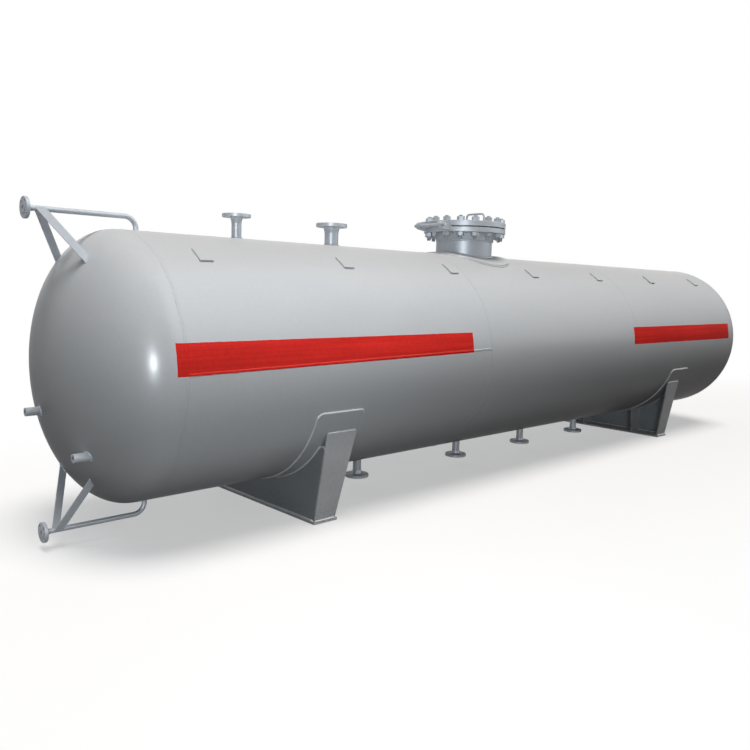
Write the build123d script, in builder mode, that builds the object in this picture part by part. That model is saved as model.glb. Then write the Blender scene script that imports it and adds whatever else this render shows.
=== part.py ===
from build123d import *
import math
import os

os.makedirs("parts", exist_ok=True)

# Horizontal pressure tank for liquefied gas, lying on two saddles. Sizes are in millimetres and degrees.
# +X runs along the tank from the gauge end to the plain end, the front is -Y and the ground is Z = 0.

# Vessel
shell_inner_d = 1400
shell_wall = 12
tangent_length = 6300
straight_flange = 25
head_inner_depth = 350
course_1_share = 0.36
course_2_share = 0.32
seat_clearance = 0.3
cut_overrun = 60

# Saddles: setbacks run from the tangent lines to the middle of the wear plates
saddle_height = 195
left_saddle_setback = 1000
right_saddle_setback = 1075
wear_plate_width = 340
wear_plate_thickness = 8
wear_plate_wrap_angle = 141
wear_plate_corner_r = 36
saddle_wrap_angle = 120
base_length = 1080
base_width = 170
base_thickness = 16
base_lip = 8
web_setback = 72
web_thickness = 10
web_horn_drop = 75
web_horn_round_share = 0.4
rib_thickness = 10
rib_foot_width = 152
rib_top_width = 218
inner_rib_spacing = 530
anchor_end_setback = 80
anchor_web_setback = 85
anchor_hole_d = 24
anchor_slot_length = 50

# Small flange for the gauge lines
dn20_flange_d = 105
dn20_flange_thickness = 18
dn20_hub_d = 40
dn20_hub_length = 22
dn20_face_d = 58
dn20_bolt_circle_d = 75
dn20_bolt_hole_d = 14
dn20_bolt_count = 4
dn20_pipe_d = 27
dn20_pipe_wall = 3

# Flange for the liquid and vapour nozzles
dn50_flange_d = 165
dn50_flange_thickness = 20
dn50_hub_d = 74
dn50_hub_length = 28
dn50_face_d = 102
dn50_bolt_circle_d = 125
dn50_bolt_hole_d = 18
dn50_bolt_count = 4
dn50_pipe_d = 57
dn50_pipe_wall = 5

# Flange for the relief valve nozzle
dn80_flange_d = 200
dn80_flange_thickness = 24
dn80_hub_d = 108
dn80_hub_length = 32
dn80_face_d = 138
dn80_bolt_circle_d = 160
dn80_bolt_hole_d = 18
dn80_bolt_count = 8
dn80_pipe_d = 89
dn80_pipe_wall = 6
nozzle_face_rise = 2
flange_edge_chamfer = 2
hub_round_share = 0.5

# Nozzle places along the tank: a setback runs from the left tangent line, an inset from the seam before it
vapour_nozzle_setback = 738
relief_nozzle_setback = 1456
top_nozzle_height = 141
bottom_nozzle_1_setback = 1730
bottom_nozzle_2_inset = 512
bottom_nozzle_3_inset = 1368
bottom_nozzle_4_inset = 224
bottom_nozzle_drop = 150

# Gauge lines: bent pipes that run past the left head, each held by two flat braces
upper_gauge_root_setback = 122
lower_gauge_root_setback = 155
upper_gauge_reach = 440
lower_gauge_reach = 395
upper_gauge_rise = 70
lower_gauge_drop = 102
gauge_bend_r = 62
brace_width = 38
brace_thickness = 6
brace_top_setback = 78
brace_foot_y = 160
brace_foot_rise = 552

# Stubs on the left head, measured from the tank's axis
stub_d = 44
stub_bore_d = 25
stub_length = 74
back_stub_y = 135
back_stub_drop = 219
front_stub_y = 286
front_stub_drop = 388

# Manway
manway_inset = 509
manway_height = 198
manway_neck_d = 426
manway_neck_wall = 12
manway_pad_d = 680
manway_pad_thickness = 12
manway_flange_d = 620
manway_flange_thickness = 34
manway_hub_d = 464
manway_hub_length = 57
manway_face_d = 505
manway_face_rise = 2
manway_bolt_circle_d = 550
manway_bolt_hole_d = 36
manway_bolt_count = 16
manway_cover_thickness = 40
gasket_thickness = 4
hinge_reach = 390
hinge_pin_d = 24
hinge_pin_length = 300
hinge_eye_r = 26
ear_thickness = 16
ear_pair_spacing = 210
ear_root_depth = 24
handle_rod_d = 16
handle_span = 170
handle_height = 80
handle_setback = 124
handle_bend_r = 26

# Plates for a walkway or spray line, in a row along each shoulder of the shell
support_pad_count = 7
support_pad_left_setback = 280
support_pad_right_setback = 350
support_pad_length = 78
support_pad_girth = 100
support_pad_thickness = 9
support_pad_angle = 55.5

# Worked out from the sizes above
shell_inner_r = shell_inner_d / 2
shell_outer_r = shell_inner_r + shell_wall
head_outer_depth = head_inner_depth + shell_wall
axis_z = shell_outer_r + saddle_height
overall_length = upper_gauge_reach + tangent_length + head_outer_depth
left_tangent_x = upper_gauge_reach - overall_length / 2
right_tangent_x = left_tangent_x + tangent_length
tank_axis = Axis((0, 0, axis_z), (1, 0, 0))
seat_r = shell_outer_r + seat_clearance

# The courses' lengths, and where the fittings are along the tank
rolled_length = tangent_length - 2 * straight_flange
course_1_length = rolled_length * course_1_share
course_2_length = rolled_length * course_2_share
course_3_length = rolled_length - course_1_length - course_2_length
course_1_x = left_tangent_x + straight_flange
course_2_x = course_1_x + course_1_length
course_3_x = course_2_x + course_2_length
vapour_nozzle_x = left_tangent_x + vapour_nozzle_setback
relief_nozzle_x = left_tangent_x + relief_nozzle_setback
bottom_nozzle_xs = [
    left_tangent_x + bottom_nozzle_1_setback,
    course_2_x + bottom_nozzle_2_inset,
    course_2_x + bottom_nozzle_3_inset,
    course_3_x + bottom_nozzle_4_inset,
]
upper_gauge_root_x = left_tangent_x + upper_gauge_root_setback
lower_gauge_root_x = left_tangent_x + lower_gauge_root_setback
manway_x = course_2_x + manway_inset


def cross_plane(x):
    """The plane across the tank at x: its x runs along Y, its y along Z, its origin is on the tank's axis."""
    return Plane(origin=(x, 0, axis_z), x_dir=(0, 1, 0), z_dir=(1, 0, 0))


def side_plane(y, z):
    """The upright plane along the tank at y: its x runs along X, its y along Z from the height z."""
    return Plane(origin=(0, y, z), x_dir=(1, 0, 0), z_dir=(0, -1, 0))


def up_plane(x, z):
    """The level plane at x and z that faces up."""
    return Plane(origin=(x, 0, z), x_dir=(1, 0, 0), z_dir=(0, 0, 1))


def down_plane(x, z):
    """The level plane at x and z that faces down."""
    return Plane(origin=(x, 0, z), x_dir=(1, 0, 0), z_dir=(0, 0, -1))


def save(builder, name):
    """Labels a finished piece and writes it."""
    builder.part.label = name
    export_step(builder.part, f"parts/{name}.step")


def ring_sector(inner_r, outer_r, middle_angle, sweep_angle):
    """Draws a sector of a ring about the sketch's origin."""
    start = middle_angle - sweep_angle / 2
    with BuildLine() as outline:
        inside = CenterArc((0, 0), inner_r, start, sweep_angle)
        outside = CenterArc((0, 0), outer_r, start, sweep_angle)
        Line(inside @ 0, outside @ 0)
        Line(inside @ 1, outside @ 1)
    make_face(outline.edges())


# Dished ends, two to one ellipsoidal
def dished_head(tangent_x, outward):
    """A head that bulges away from its tangent line, with its straight flange towards the shell."""
    start_angle = 90 if outward < 0 else 0
    rim = 0 if outward < 0 else 1
    tip = 1 - rim
    seam_x = tangent_x - outward * straight_flange
    with BuildPart() as head:
        with BuildSketch(side_plane(0, axis_z)):
            with BuildLine():
                outside = EllipticalCenterArc((tangent_x, 0), head_outer_depth, shell_outer_r, start_angle)
                inside = EllipticalCenterArc((tangent_x, 0), head_inner_depth, shell_inner_r, start_angle)
                Line(outside @ tip, inside @ tip)
                Polyline(outside @ rim, (seam_x, shell_outer_r), (seam_x, shell_inner_r), inside @ rim)
            make_face()
        revolve(axis=tank_axis)
    return head


stub_places = {
    "back_head_stub": (back_stub_y, -back_stub_drop),
    "front_head_stub": (-front_stub_y, -front_stub_drop),
}

head = dished_head(left_tangent_x, -1)
with BuildPart() as left_head:
    add(head.part)
    with BuildSketch(cross_plane(left_tangent_x)):
        with Locations(*stub_places.values()):
            Circle(stub_d / 2 + seat_clearance)
    extrude(amount=-head_outer_depth, mode=Mode.SUBTRACT)
save(left_head, "left_head")

right_head = dished_head(right_tangent_x, 1)
save(right_head, "right_head")

# The space that the left head fills, for fitting pieces to its outer and inner faces
with BuildPart() as left_head_outside:
    with BuildSketch(side_plane(0, axis_z)):
        with BuildLine():
            dome = EllipticalCenterArc((left_tangent_x, 0), head_outer_depth + seat_clearance, seat_r, 90)
            Polyline(dome @ 1, (left_tangent_x, 0), dome @ 0)
        make_face()
    revolve(axis=tank_axis)
with BuildPart() as left_head_inside:
    with BuildSketch(side_plane(0, axis_z)):
        with BuildLine():
            hollow = EllipticalCenterArc((left_tangent_x, 0), head_inner_depth, shell_inner_r, 90)
            Polyline(hollow @ 1, (left_tangent_x, 0), hollow @ 0)
        make_face()
    revolve(axis=tank_axis)

# Shell: three rolled courses, with the openings for the nozzles and the manway
openings = [
    (vapour_nozzle_x, 1, dn50_pipe_d),
    (relief_nozzle_x, 1, dn80_pipe_d),
    (manway_x, 1, manway_neck_d),
    (upper_gauge_root_x, 1, dn20_pipe_d),
    (lower_gauge_root_x, -1, dn20_pipe_d),
]
openings += [(x, -1, dn50_pipe_d) for x in bottom_nozzle_xs]
courses = {
    "shell_course_1": (course_1_x, course_1_length),
    "shell_course_2": (course_2_x, course_2_length),
    "shell_course_3": (course_3_x, course_3_length),
}
for name, (course_start, length) in courses.items():
    with BuildPart() as course:
        with BuildSketch(cross_plane(course_start)):
            Circle(shell_outer_r)
            Circle(shell_inner_r, mode=Mode.SUBTRACT)
        extrude(amount=length)
        for x, side, bore_d in openings:
            if course_start < x < course_start + length:
                with BuildSketch(up_plane(x, axis_z)):
                    Circle(bore_d / 2 + seat_clearance)
                extrude(amount=side * (shell_outer_r + cut_overrun), mode=Mode.SUBTRACT)
    save(course, name)

# Saddles: the web stands on the outer side and the ribs point to the middle of the tank
wear_outer_r = seat_r + wear_plate_thickness
saddle_seat_r = wear_outer_r + seat_clearance
base_top = base_thickness - axis_z
end_plate_foot_y = base_length / 2 - base_lip
end_plate_top_angle = math.radians((180 - saddle_wrap_angle) / 2)
end_plate_top_y = (saddle_seat_r + rib_thickness) * math.cos(end_plate_top_angle)
end_plate_top = -(saddle_seat_r + rib_thickness) * math.sin(end_plate_top_angle)
end_plate_lean = (end_plate_top_y - end_plate_foot_y) / (end_plate_top - base_top)
end_plate_run = rib_thickness * math.sqrt(1 + end_plate_lean**2)
horn_top = end_plate_top - web_horn_drop


def end_plate_inside(height):
    """The Y of the end plates' inner faces at a height above the tank's axis."""
    return end_plate_foot_y + end_plate_lean * (height - base_top) - end_plate_run


def saddle(side_name, middle_x, inward, slotted):
    """Makes one saddle: inward is +1 or -1, the way along X from the saddle to the middle of the tank."""
    web_x = middle_x - inward * web_setback
    anchor_x = web_x + inward * anchor_web_setback

    with BuildPart() as wear_plate:
        with BuildSketch(cross_plane(middle_x)):
            ring_sector(seat_r, wear_outer_r, -90, wear_plate_wrap_angle)
        extrude(amount=wear_plate_width / 2, both=True)
        corners = wear_plate.edges().filter_by(GeomType.LINE).group_by(SortBy.LENGTH)[0]
        fillet(corners, radius=wear_plate_corner_r)
    save(wear_plate, f"{side_name}_wear_plate")

    with BuildPart() as base_plate:
        with BuildSketch(up_plane(web_x + inward * (base_width / 2 - base_lip), 0)):
            Rectangle(base_width, base_length)
        extrude(amount=base_thickness)
        with BuildSketch(up_plane(anchor_x, 0)):
            with GridLocations(0, base_length - 2 * anchor_end_setback, 1, 2):
                if slotted:
                    SlotOverall(anchor_slot_length, anchor_hole_d)
                else:
                    Circle(anchor_hole_d / 2)
        extrude(amount=base_thickness, mode=Mode.SUBTRACT)
    save(base_plate, f"{side_name}_saddle_base")

    with BuildPart() as web:
        with BuildSketch(cross_plane(web_x)) as outline:
            with BuildLine():
                foot = end_plate_inside(base_top)
                shoulder = end_plate_inside(horn_top)
                Polyline(
                    (-foot, base_top),
                    (foot, base_top),
                    (shoulder, horn_top),
                    (-shoulder, horn_top),
                    close=True,
                )
            make_face()
            Circle(saddle_seat_r, mode=Mode.SUBTRACT)
            horn_width = shoulder - math.sqrt(saddle_seat_r**2 - horn_top**2)
            horns = outline.vertices().group_by(Axis.Y)[-1]
            fillet(horns, radius=horn_width * web_horn_round_share)
        extrude(amount=inward * web_thickness)
    save(web, f"{side_name}_saddle_web")

    with BuildPart() as ribs:
        with BuildSketch(cross_plane(web_x)):
            for side in (-1, 1):
                with BuildLine():
                    Polyline(
                        (side * end_plate_foot_y, base_top),
                        (side * end_plate_top_y, end_plate_top),
                        (side * end_plate_inside(end_plate_top), end_plate_top),
                        (side * end_plate_inside(base_top), base_top),
                        close=True,
                    )
                make_face()
        extrude(amount=inward * rib_top_width)
        with BuildSketch(cross_plane(web_x + inward * web_thickness)):
            with Locations((0, base_top)):
                with GridLocations(inner_rib_spacing, 0, 2, 1):
                    Rectangle(rib_thickness, -base_top, align=(Align.CENTER, Align.MIN))
        extrude(amount=inward * (rib_top_width - web_thickness))
        with BuildSketch(side_plane(0, axis_z)):
            with BuildLine():
                Polyline(
                    (web_x + inward * rib_foot_width, base_top),
                    (web_x + inward * (rib_top_width + cut_overrun), base_top),
                    (web_x + inward * (rib_top_width + cut_overrun), end_plate_top),
                    (web_x + inward * rib_top_width, end_plate_top),
                    close=True,
                )
            make_face()
        extrude(amount=base_length, both=True, mode=Mode.SUBTRACT)
        with BuildSketch(cross_plane(web_x)):
            Circle(saddle_seat_r)
        extrude(amount=inward * (rib_top_width + cut_overrun), mode=Mode.SUBTRACT)
    save(ribs, f"{side_name}_saddle_ribs")


saddle("left", left_tangent_x + left_saddle_setback, 1, slotted=False)
saddle("right", right_tangent_x - right_saddle_setback, -1, slotted=True)


# Nozzles
def weld_neck_flange(
    face, flange_d, thickness, hub_d, hub_length, pipe_d, bore_d, face_d, rise, circle_d, hole_d, count
):
    """A weld-neck flange: face is its sealing plane, and the hub runs back from it to the pipe."""
    section = Plane(origin=face.origin, x_dir=face.x_dir, z_dir=-face.y_dir)
    back = -rise - thickness
    hub_round = hub_round_share * (circle_d - hole_d - hub_d) / 2
    with BuildPart() as flange:
        with BuildSketch(section) as profile:
            with BuildLine():
                Polyline(
                    (bore_d / 2, 0),
                    (face_d / 2, 0),
                    (face_d / 2, -rise),
                    (flange_d / 2, -rise),
                    (flange_d / 2, back),
                    (hub_d / 2, back),
                    (pipe_d / 2, back - hub_length),
                    (bore_d / 2, back - hub_length),
                    close=True,
                )
            make_face()
            chamfer(profile.vertices().group_by(Axis.X)[-1], length=flange_edge_chamfer)
            fillet(profile.vertices().sort_by_distance((hub_d / 2, back))[0], radius=hub_round)
        revolve(axis=Axis(face.origin, face.z_dir))
        with BuildSketch(face):
            with PolarLocations(circle_d / 2, count, start_angle=180 / count):
                Circle(hole_d / 2)
        extrude(amount=back, mode=Mode.SUBTRACT)
    return flange


def nozzle_flange(face, size):
    """The weld-neck flange of one of the nozzle sizes."""
    if size == "dn20":
        return weld_neck_flange(
            face, dn20_flange_d, dn20_flange_thickness, dn20_hub_d, dn20_hub_length, dn20_pipe_d,
            dn20_pipe_d - 2 * dn20_pipe_wall, dn20_face_d, nozzle_face_rise,
            dn20_bolt_circle_d, dn20_bolt_hole_d, dn20_bolt_count,
        )
    if size == "dn50":
        return weld_neck_flange(
            face, dn50_flange_d, dn50_flange_thickness, dn50_hub_d, dn50_hub_length, dn50_pipe_d,
            dn50_pipe_d - 2 * dn50_pipe_wall, dn50_face_d, nozzle_face_rise,
            dn50_bolt_circle_d, dn50_bolt_hole_d, dn50_bolt_count,
        )
    return weld_neck_flange(
        face, dn80_flange_d, dn80_flange_thickness, dn80_hub_d, dn80_hub_length, dn80_pipe_d,
        dn80_pipe_d - 2 * dn80_pipe_wall, dn80_face_d, nozzle_face_rise,
        dn80_bolt_circle_d, dn80_bolt_hole_d, dn80_bolt_count,
    )


def nozzle_pipe(face, behind_face, pipe_d, pipe_wall):
    """A straight pipe from the end of the flange's hub to the inside of the shell."""
    reach = abs(face.origin.Z - axis_z)
    with BuildPart() as pipe:
        with BuildSketch(face.offset(-behind_face)):
            Circle(pipe_d / 2)
            Circle(pipe_d / 2 - pipe_wall, mode=Mode.SUBTRACT)
        extrude(amount=behind_face - reach)
        with BuildSketch(cross_plane(face.origin.X)):
            Circle(shell_inner_r)
        extrude(amount=pipe_d, both=True, mode=Mode.SUBTRACT)
    return pipe


dn50_behind_face = nozzle_face_rise + dn50_flange_thickness + dn50_hub_length
dn80_behind_face = nozzle_face_rise + dn80_flange_thickness + dn80_hub_length
top_face_z = axis_z + shell_outer_r + top_nozzle_height
bottom_face_z = axis_z - shell_outer_r - bottom_nozzle_drop

vapour_face = up_plane(vapour_nozzle_x, top_face_z)
save(nozzle_flange(vapour_face, "dn50"), "vapour_nozzle_flange")
save(nozzle_pipe(vapour_face, dn50_behind_face, dn50_pipe_d, dn50_pipe_wall), "vapour_nozzle_pipe")

relief_face = up_plane(relief_nozzle_x, top_face_z)
save(nozzle_flange(relief_face, "dn80"), "relief_nozzle_flange")
save(nozzle_pipe(relief_face, dn80_behind_face, dn80_pipe_d, dn80_pipe_wall), "relief_nozzle_pipe")

for number, nozzle_x in enumerate(bottom_nozzle_xs, start=1):
    bottom_face = down_plane(nozzle_x, bottom_face_z)
    save(nozzle_flange(bottom_face, "dn50"), f"bottom_nozzle_{number}_flange")
    bottom_pipe = nozzle_pipe(bottom_face, dn50_behind_face, dn50_pipe_d, dn50_pipe_wall)
    save(bottom_pipe, f"bottom_nozzle_{number}_pipe")

# Gauge lines
dn20_behind_face = nozzle_face_rise + dn20_flange_thickness + dn20_hub_length


def gauge_line(name, side, offset, reach, line_root_x):
    """One gauge line: side is +1 above the tank or -1 below it, offset the pipe's height from the shell,
    reach how far its flange stands before the left tangent line."""
    pipe_z = axis_z + side * (shell_outer_r + offset)
    root_z = axis_z + side * shell_inner_r
    face_x = left_tangent_x - reach
    face = Plane(origin=(face_x, 0, pipe_z), x_dir=(0, 1, 0), z_dir=(-1, 0, 0))
    save(nozzle_flange(face, "dn20"), f"{name}_gauge_flange")

    with BuildPart() as pipe:
        with BuildLine():
            FilletPolyline(
                (face_x + dn20_behind_face, 0, pipe_z),
                (line_root_x, 0, pipe_z),
                (line_root_x, 0, root_z),
                radius=gauge_bend_r,
            )
        with BuildSketch(face.offset(-dn20_behind_face)):
            Circle(dn20_pipe_d / 2)
            Circle(dn20_pipe_d / 2 - dn20_pipe_wall, mode=Mode.SUBTRACT)
        sweep()
    save(pipe, f"{name}_gauge_pipe")

    top = Vector(face_x + brace_top_setback, 0, pipe_z)
    foot_r = math.hypot(brace_foot_y, brace_foot_rise) / shell_outer_r
    foot_x = left_tangent_x - head_outer_depth * math.sqrt(1 - foot_r**2)
    with BuildPart() as braces:
        for hand in (-1, 1):
            foot = Vector(foot_x, hand * brace_foot_y, axis_z + side * brace_foot_rise)
            run = foot - top
            across = Vector(0, 1, 0).cross(run).normalized()
            start = top - run.normalized() * brace_width
            with BuildSketch(Plane(origin=start, x_dir=across, z_dir=run)):
                with Locations((0, hand * (dn20_pipe_d / 2 + brace_thickness / 2))):
                    Rectangle(brace_width, brace_thickness)
            extrude(amount=run.length + 2 * brace_width)
        add(left_head_outside.part, mode=Mode.SUBTRACT)
        with BuildSketch(face):
            Circle(dn20_pipe_d / 2 + seat_clearance)
        extrude(amount=-2 * reach, mode=Mode.SUBTRACT)
        trim_z = pipe_z + side * dn20_pipe_d / 4
        split(bisect_by=Plane(origin=(face_x, 0, trim_z), z_dir=(0, 0, side)), keep=Keep.BOTTOM)
    save(braces, f"{name}_gauge_braces")


gauge_line("upper", 1, upper_gauge_rise, upper_gauge_reach, upper_gauge_root_x)
gauge_line("lower", -1, lower_gauge_drop, lower_gauge_reach, lower_gauge_root_x)

# Stubs on the left head
for name, (y, z) in stub_places.items():
    root_x = left_tangent_x - head_outer_depth * math.sqrt(1 - (math.hypot(y, z) / shell_outer_r) ** 2)
    with BuildPart() as stub:
        with BuildSketch(cross_plane(root_x - stub_length)):
            with Locations((y, z)):
                Circle(stub_d / 2)
                Circle(stub_bore_d / 2, mode=Mode.SUBTRACT)
        extrude(amount=left_tangent_x - root_x + stub_length)
        add(left_head_inside.part, mode=Mode.SUBTRACT)
    save(stub, name)

# Manway
manway_face_z = axis_z + shell_outer_r + manway_height
manway_face = up_plane(manway_x, manway_face_z)
manway_behind_face = manway_face_rise + manway_flange_thickness + manway_hub_length
manway_bore_d = manway_neck_d - 2 * manway_neck_wall
cover_face_z = manway_face_z + gasket_thickness
cover_rim_z = cover_face_z + manway_face_rise
cover_top_z = cover_rim_z + manway_cover_thickness
flange_back_z = manway_face_z - manway_face_rise - manway_flange_thickness

manway_flange = weld_neck_flange(
    manway_face, manway_flange_d, manway_flange_thickness, manway_hub_d, manway_hub_length, manway_neck_d,
    manway_bore_d, manway_face_d, manway_face_rise,
    manway_bolt_circle_d, manway_bolt_hole_d, manway_bolt_count,
)
save(manway_flange, "manway_flange")
save(nozzle_pipe(manway_face, manway_behind_face, manway_neck_d, manway_neck_wall), "manway_neck")

with BuildPart() as manway_pad:
    with BuildSketch(cross_plane(manway_x)):
        Circle(seat_r + manway_pad_thickness)
        Circle(seat_r, mode=Mode.SUBTRACT)
    extrude(amount=manway_pad_d, both=True)
    with BuildSketch(up_plane(manway_x, axis_z)):
        Circle(manway_pad_d / 2)
        Circle(manway_neck_d / 2 + seat_clearance, mode=Mode.SUBTRACT)
    extrude(amount=shell_outer_r + cut_overrun, mode=Mode.INTERSECT)
save(manway_pad, "manway_reinforcing_pad")

with BuildPart() as gasket:
    with BuildSketch(manway_face):
        Circle(manway_face_d / 2)
        Circle(manway_bore_d / 2, mode=Mode.SUBTRACT)
    extrude(amount=gasket_thickness)
save(gasket, "manway_gasket")

with BuildPart() as cover:
    with BuildSketch(up_plane(manway_x, cover_face_z)):
        Circle(manway_face_d / 2)
    extrude(amount=manway_face_rise)
    with BuildSketch(up_plane(manway_x, cover_rim_z)):
        Circle(manway_flange_d / 2)
        with PolarLocations(manway_bolt_circle_d / 2, manway_bolt_count, start_angle=180 / manway_bolt_count):
            Circle(manway_bolt_hole_d / 2, mode=Mode.SUBTRACT)
    extrude(amount=manway_cover_thickness)
    rims = cover.edges().filter_by(GeomType.CIRCLE).filter_by(lambda edge: edge.radius > manway_face_d / 2)
    chamfer(rims, length=flange_edge_chamfer)
save(cover, "manway_cover")

# Hinge of the manway cover: a pin through two ears on the flange and two on the cover
hinge_x = manway_x - hinge_reach
hinge_z = (manway_face_z + cover_face_z) / 2


def hinge_ears(name, outward, root_bottom, root_height):
    """A pair of ears on a rim: outward is +1 for the outer pair on the pin and -1 for the inner pair."""
    root_x = manway_x - math.sqrt(manway_flange_d**2 - ear_pair_spacing**2) / 2
    with BuildPart() as ears:
        for hand in (-1, 1):
            near_face = hand * ear_pair_spacing / 2
            with BuildSketch(side_plane(near_face, 0)):
                with Locations((hinge_x, hinge_z)):
                    Circle(hinge_eye_r)
                with Locations((root_x, root_bottom)):
                    Rectangle(ear_root_depth, root_height, align=Align.MIN)
                make_hull()
                with Locations((hinge_x, hinge_z)):
                    Circle(hinge_pin_d / 2 + seat_clearance, mode=Mode.SUBTRACT)
            extrude(amount=-hand * outward * ear_thickness)
        with BuildSketch(up_plane(manway_x, flange_back_z)):
            Circle(manway_flange_d / 2 + seat_clearance)
        extrude(amount=cover_top_z - flange_back_z, mode=Mode.SUBTRACT)
    save(ears, name)


hinge_ears("manway_flange_ears", 1, flange_back_z, manway_flange_thickness)
hinge_ears("manway_cover_ears", -1, cover_rim_z, manway_cover_thickness)

with BuildPart() as hinge_pin:
    with BuildSketch(side_plane(hinge_pin_length / 2, 0)):
        with Locations((hinge_x, hinge_z)):
            Circle(hinge_pin_d / 2)
    extrude(amount=hinge_pin_length)
save(hinge_pin, "manway_hinge_pin")

with BuildPart() as handle:
    handle_x = manway_x + handle_setback
    with BuildLine():
        FilletPolyline(
            (handle_x, -handle_span / 2, cover_top_z),
            (handle_x, -handle_span / 2, cover_top_z + handle_height),
            (handle_x, handle_span / 2, cover_top_z + handle_height),
            (handle_x, handle_span / 2, cover_top_z),
            radius=handle_bend_r,
        )
    with BuildSketch(Plane(origin=(handle_x, -handle_span / 2, cover_top_z), z_dir=(0, 0, 1))):
        Circle(handle_rod_d / 2)
    sweep()
save(handle, "manway_handle")

# Support pads: a front row and a back row
support_pad_sweep = math.degrees(support_pad_girth / shell_outer_r)
support_pad_run = tangent_length - support_pad_left_setback - support_pad_right_setback
support_pad_pitch = support_pad_run / (support_pad_count - 1)
for name, middle_angle in {
    "front_support_pads": 180 - support_pad_angle,
    "back_support_pads": support_pad_angle,
}.items():
    with BuildPart() as pads:
        for number in range(support_pad_count):
            pad_x = left_tangent_x + support_pad_left_setback + number * support_pad_pitch
            with BuildSketch(cross_plane(pad_x)):
                ring_sector(seat_r, seat_r + support_pad_thickness, middle_angle, support_pad_sweep)
            extrude(amount=support_pad_length / 2, both=True)
    save(pads, name)
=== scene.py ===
import math

import bpy
import numpy as np
from bpy.props import FloatProperty, FloatVectorProperty, IntProperty, PointerProperty
from mathutils import Matrix, Vector


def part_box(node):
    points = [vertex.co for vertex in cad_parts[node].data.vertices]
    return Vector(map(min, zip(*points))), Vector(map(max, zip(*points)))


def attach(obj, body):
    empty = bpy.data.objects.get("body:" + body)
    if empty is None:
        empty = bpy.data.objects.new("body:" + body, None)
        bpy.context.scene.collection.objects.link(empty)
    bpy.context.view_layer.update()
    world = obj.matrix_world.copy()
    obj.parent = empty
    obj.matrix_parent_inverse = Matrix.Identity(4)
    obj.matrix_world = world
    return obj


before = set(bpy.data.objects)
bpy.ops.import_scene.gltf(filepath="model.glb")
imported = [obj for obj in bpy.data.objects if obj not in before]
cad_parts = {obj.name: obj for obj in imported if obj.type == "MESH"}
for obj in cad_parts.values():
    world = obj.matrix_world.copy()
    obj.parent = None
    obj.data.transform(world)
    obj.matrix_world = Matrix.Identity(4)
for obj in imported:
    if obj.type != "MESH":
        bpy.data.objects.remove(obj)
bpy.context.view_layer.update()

bl_info = {
    "name": "Horizontal gas tank",
    "version": (1, 0, 0),
    "blender": (4, 5, 0),
    "location": "View3D > Sidebar > Tank",
    "description": "Paint, weld beads and manway studs for a horizontal gas tank on two saddles",
    "category": "Object",
}

# Places read from the loaded tank, in metres
shell_low, shell_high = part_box("shell_course_1")
shell_r = (shell_high.z - shell_low.z) / 2
axis_z = (shell_high.z + shell_low.z) / 2
girth_seams = [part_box(f"shell_course_{number}")[0].x for number in (1, 2, 3)]
girth_seams.append(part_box("shell_course_3")[1].x)

# Sizes that follow the tank's drawing and can't be read from a box
head_depth = 0.362
straight_flange = 0.025
left_tangent_x = girth_seams[0] - straight_flange
wear_plate_corner_r = 0.036
wear_plate_thickness = 0.008
saddle_half_wrap = math.radians(60)
rib_thickness = 0.010
rib_foot_reach = 0.142
rib_top_width = 0.218
rib_top_gap = 0.004
base_lip = 0.008
brace_top_setback = 0.078
brace_foot_y = 0.160
brace_foot_rise = 0.552
brace_width = 0.038
brace_thickness = 0.006
manway_pad_thickness = 0.012
manway_face_rise = 0.002
hinge_ear_depth = 0.016
web_horn_width = 0.042
web_horn_round = 0.017

# Butt welds between pipe and flange: width and height
nozzle_neck_weld = (0.009, 0.0016)
gauge_neck_weld = (0.006, 0.0012)
manway_neck_weld = (0.014, 0.0024)

# Root welds bulge away from a point under the surface: its depth, or its share of the shell's radius
nozzle_root_share = 0.96
gauge_root_share = 0.98
manway_root_share = 0.85
stub_root_depth = 0.02

# Ends of the short welds: on the hinge ears from the plate's top down, on the pads from a corner along
ear_weld_top = 0.003
ear_weld_bottom = 0.031
pad_weld_near = 0.006
pad_weld_far = 0.028

# The braces' welds on the gauge pipe lie this far above and below its middle
brace_weld_tilt = math.radians(30)

# A wider gap than this parts two support pads of a row
pad_row_gap = 0.2

# Shape of a weld bead, with its ripples and unevenness as shares of its width and height
bead_sides = 8
steps_per_ripple = 3
least_bead_steps = 6
ripple_depth = 0.13
ripple_lag = 0.8
bead_unevenness = 0.05
bead_wander = 0.06
bead_end_share = 0.25

# Steps of the paths that beads follow
ring_angles = np.linspace(0, 2 * math.pi, 96, endpoint=False)
plate_edge_step = 0.01

# Shape of the studs and nuts, with the thread's as shares of its pitch
thread_depth_share = 0.6
thread_start_share = 0.6
thread_crest_shares = (0.45, 0.55)
stud_end_chamfer = 0.002
stud_segments = 24
stud_twist = 0.37
nut_segments = 48
nut_bore_overlap = 0.0005
nut_crown_share = 0.96
least_nut_chamfer = 0.0004
nut_chamfer_angle = math.radians(30)
sharp_angle = math.radians(35)

# Details of the finishes
stripe_wander = 0.004
dust_dullness = 0.10
gasket_fleck = (0.11, 0.105, 0.10)

# Floor: it is whiter further from the tank, by a distance that is drawn in along X
floor_reach = 400.0
floor_drop = 0.002
floor_draw_in = (0.3, 1.0, 1.0)
fade_start = 1.0
fade_end = 3.2
least_white = 0.45
quiet_floor = (0.034, 0.026, 0.021)

# Sky: its level rises from the horizon to a share of the height
horizon_level = 0.02
full_sky_height = 0.8
sky_colour = (0.94, 0.97, 1.0)

# Far lamps: the turn and height of their bearing, and their breadth, in degrees
far_lamp_place = (0, 0, 6)
key_turn = -90
key_breadth = 30
key_colour = (1.0, 0.962, 0.93)
gleam_bearing = (-32, 38)
gleam_breadth = 70
gleam_colour = (0.93, 0.975, 1.0)

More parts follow.
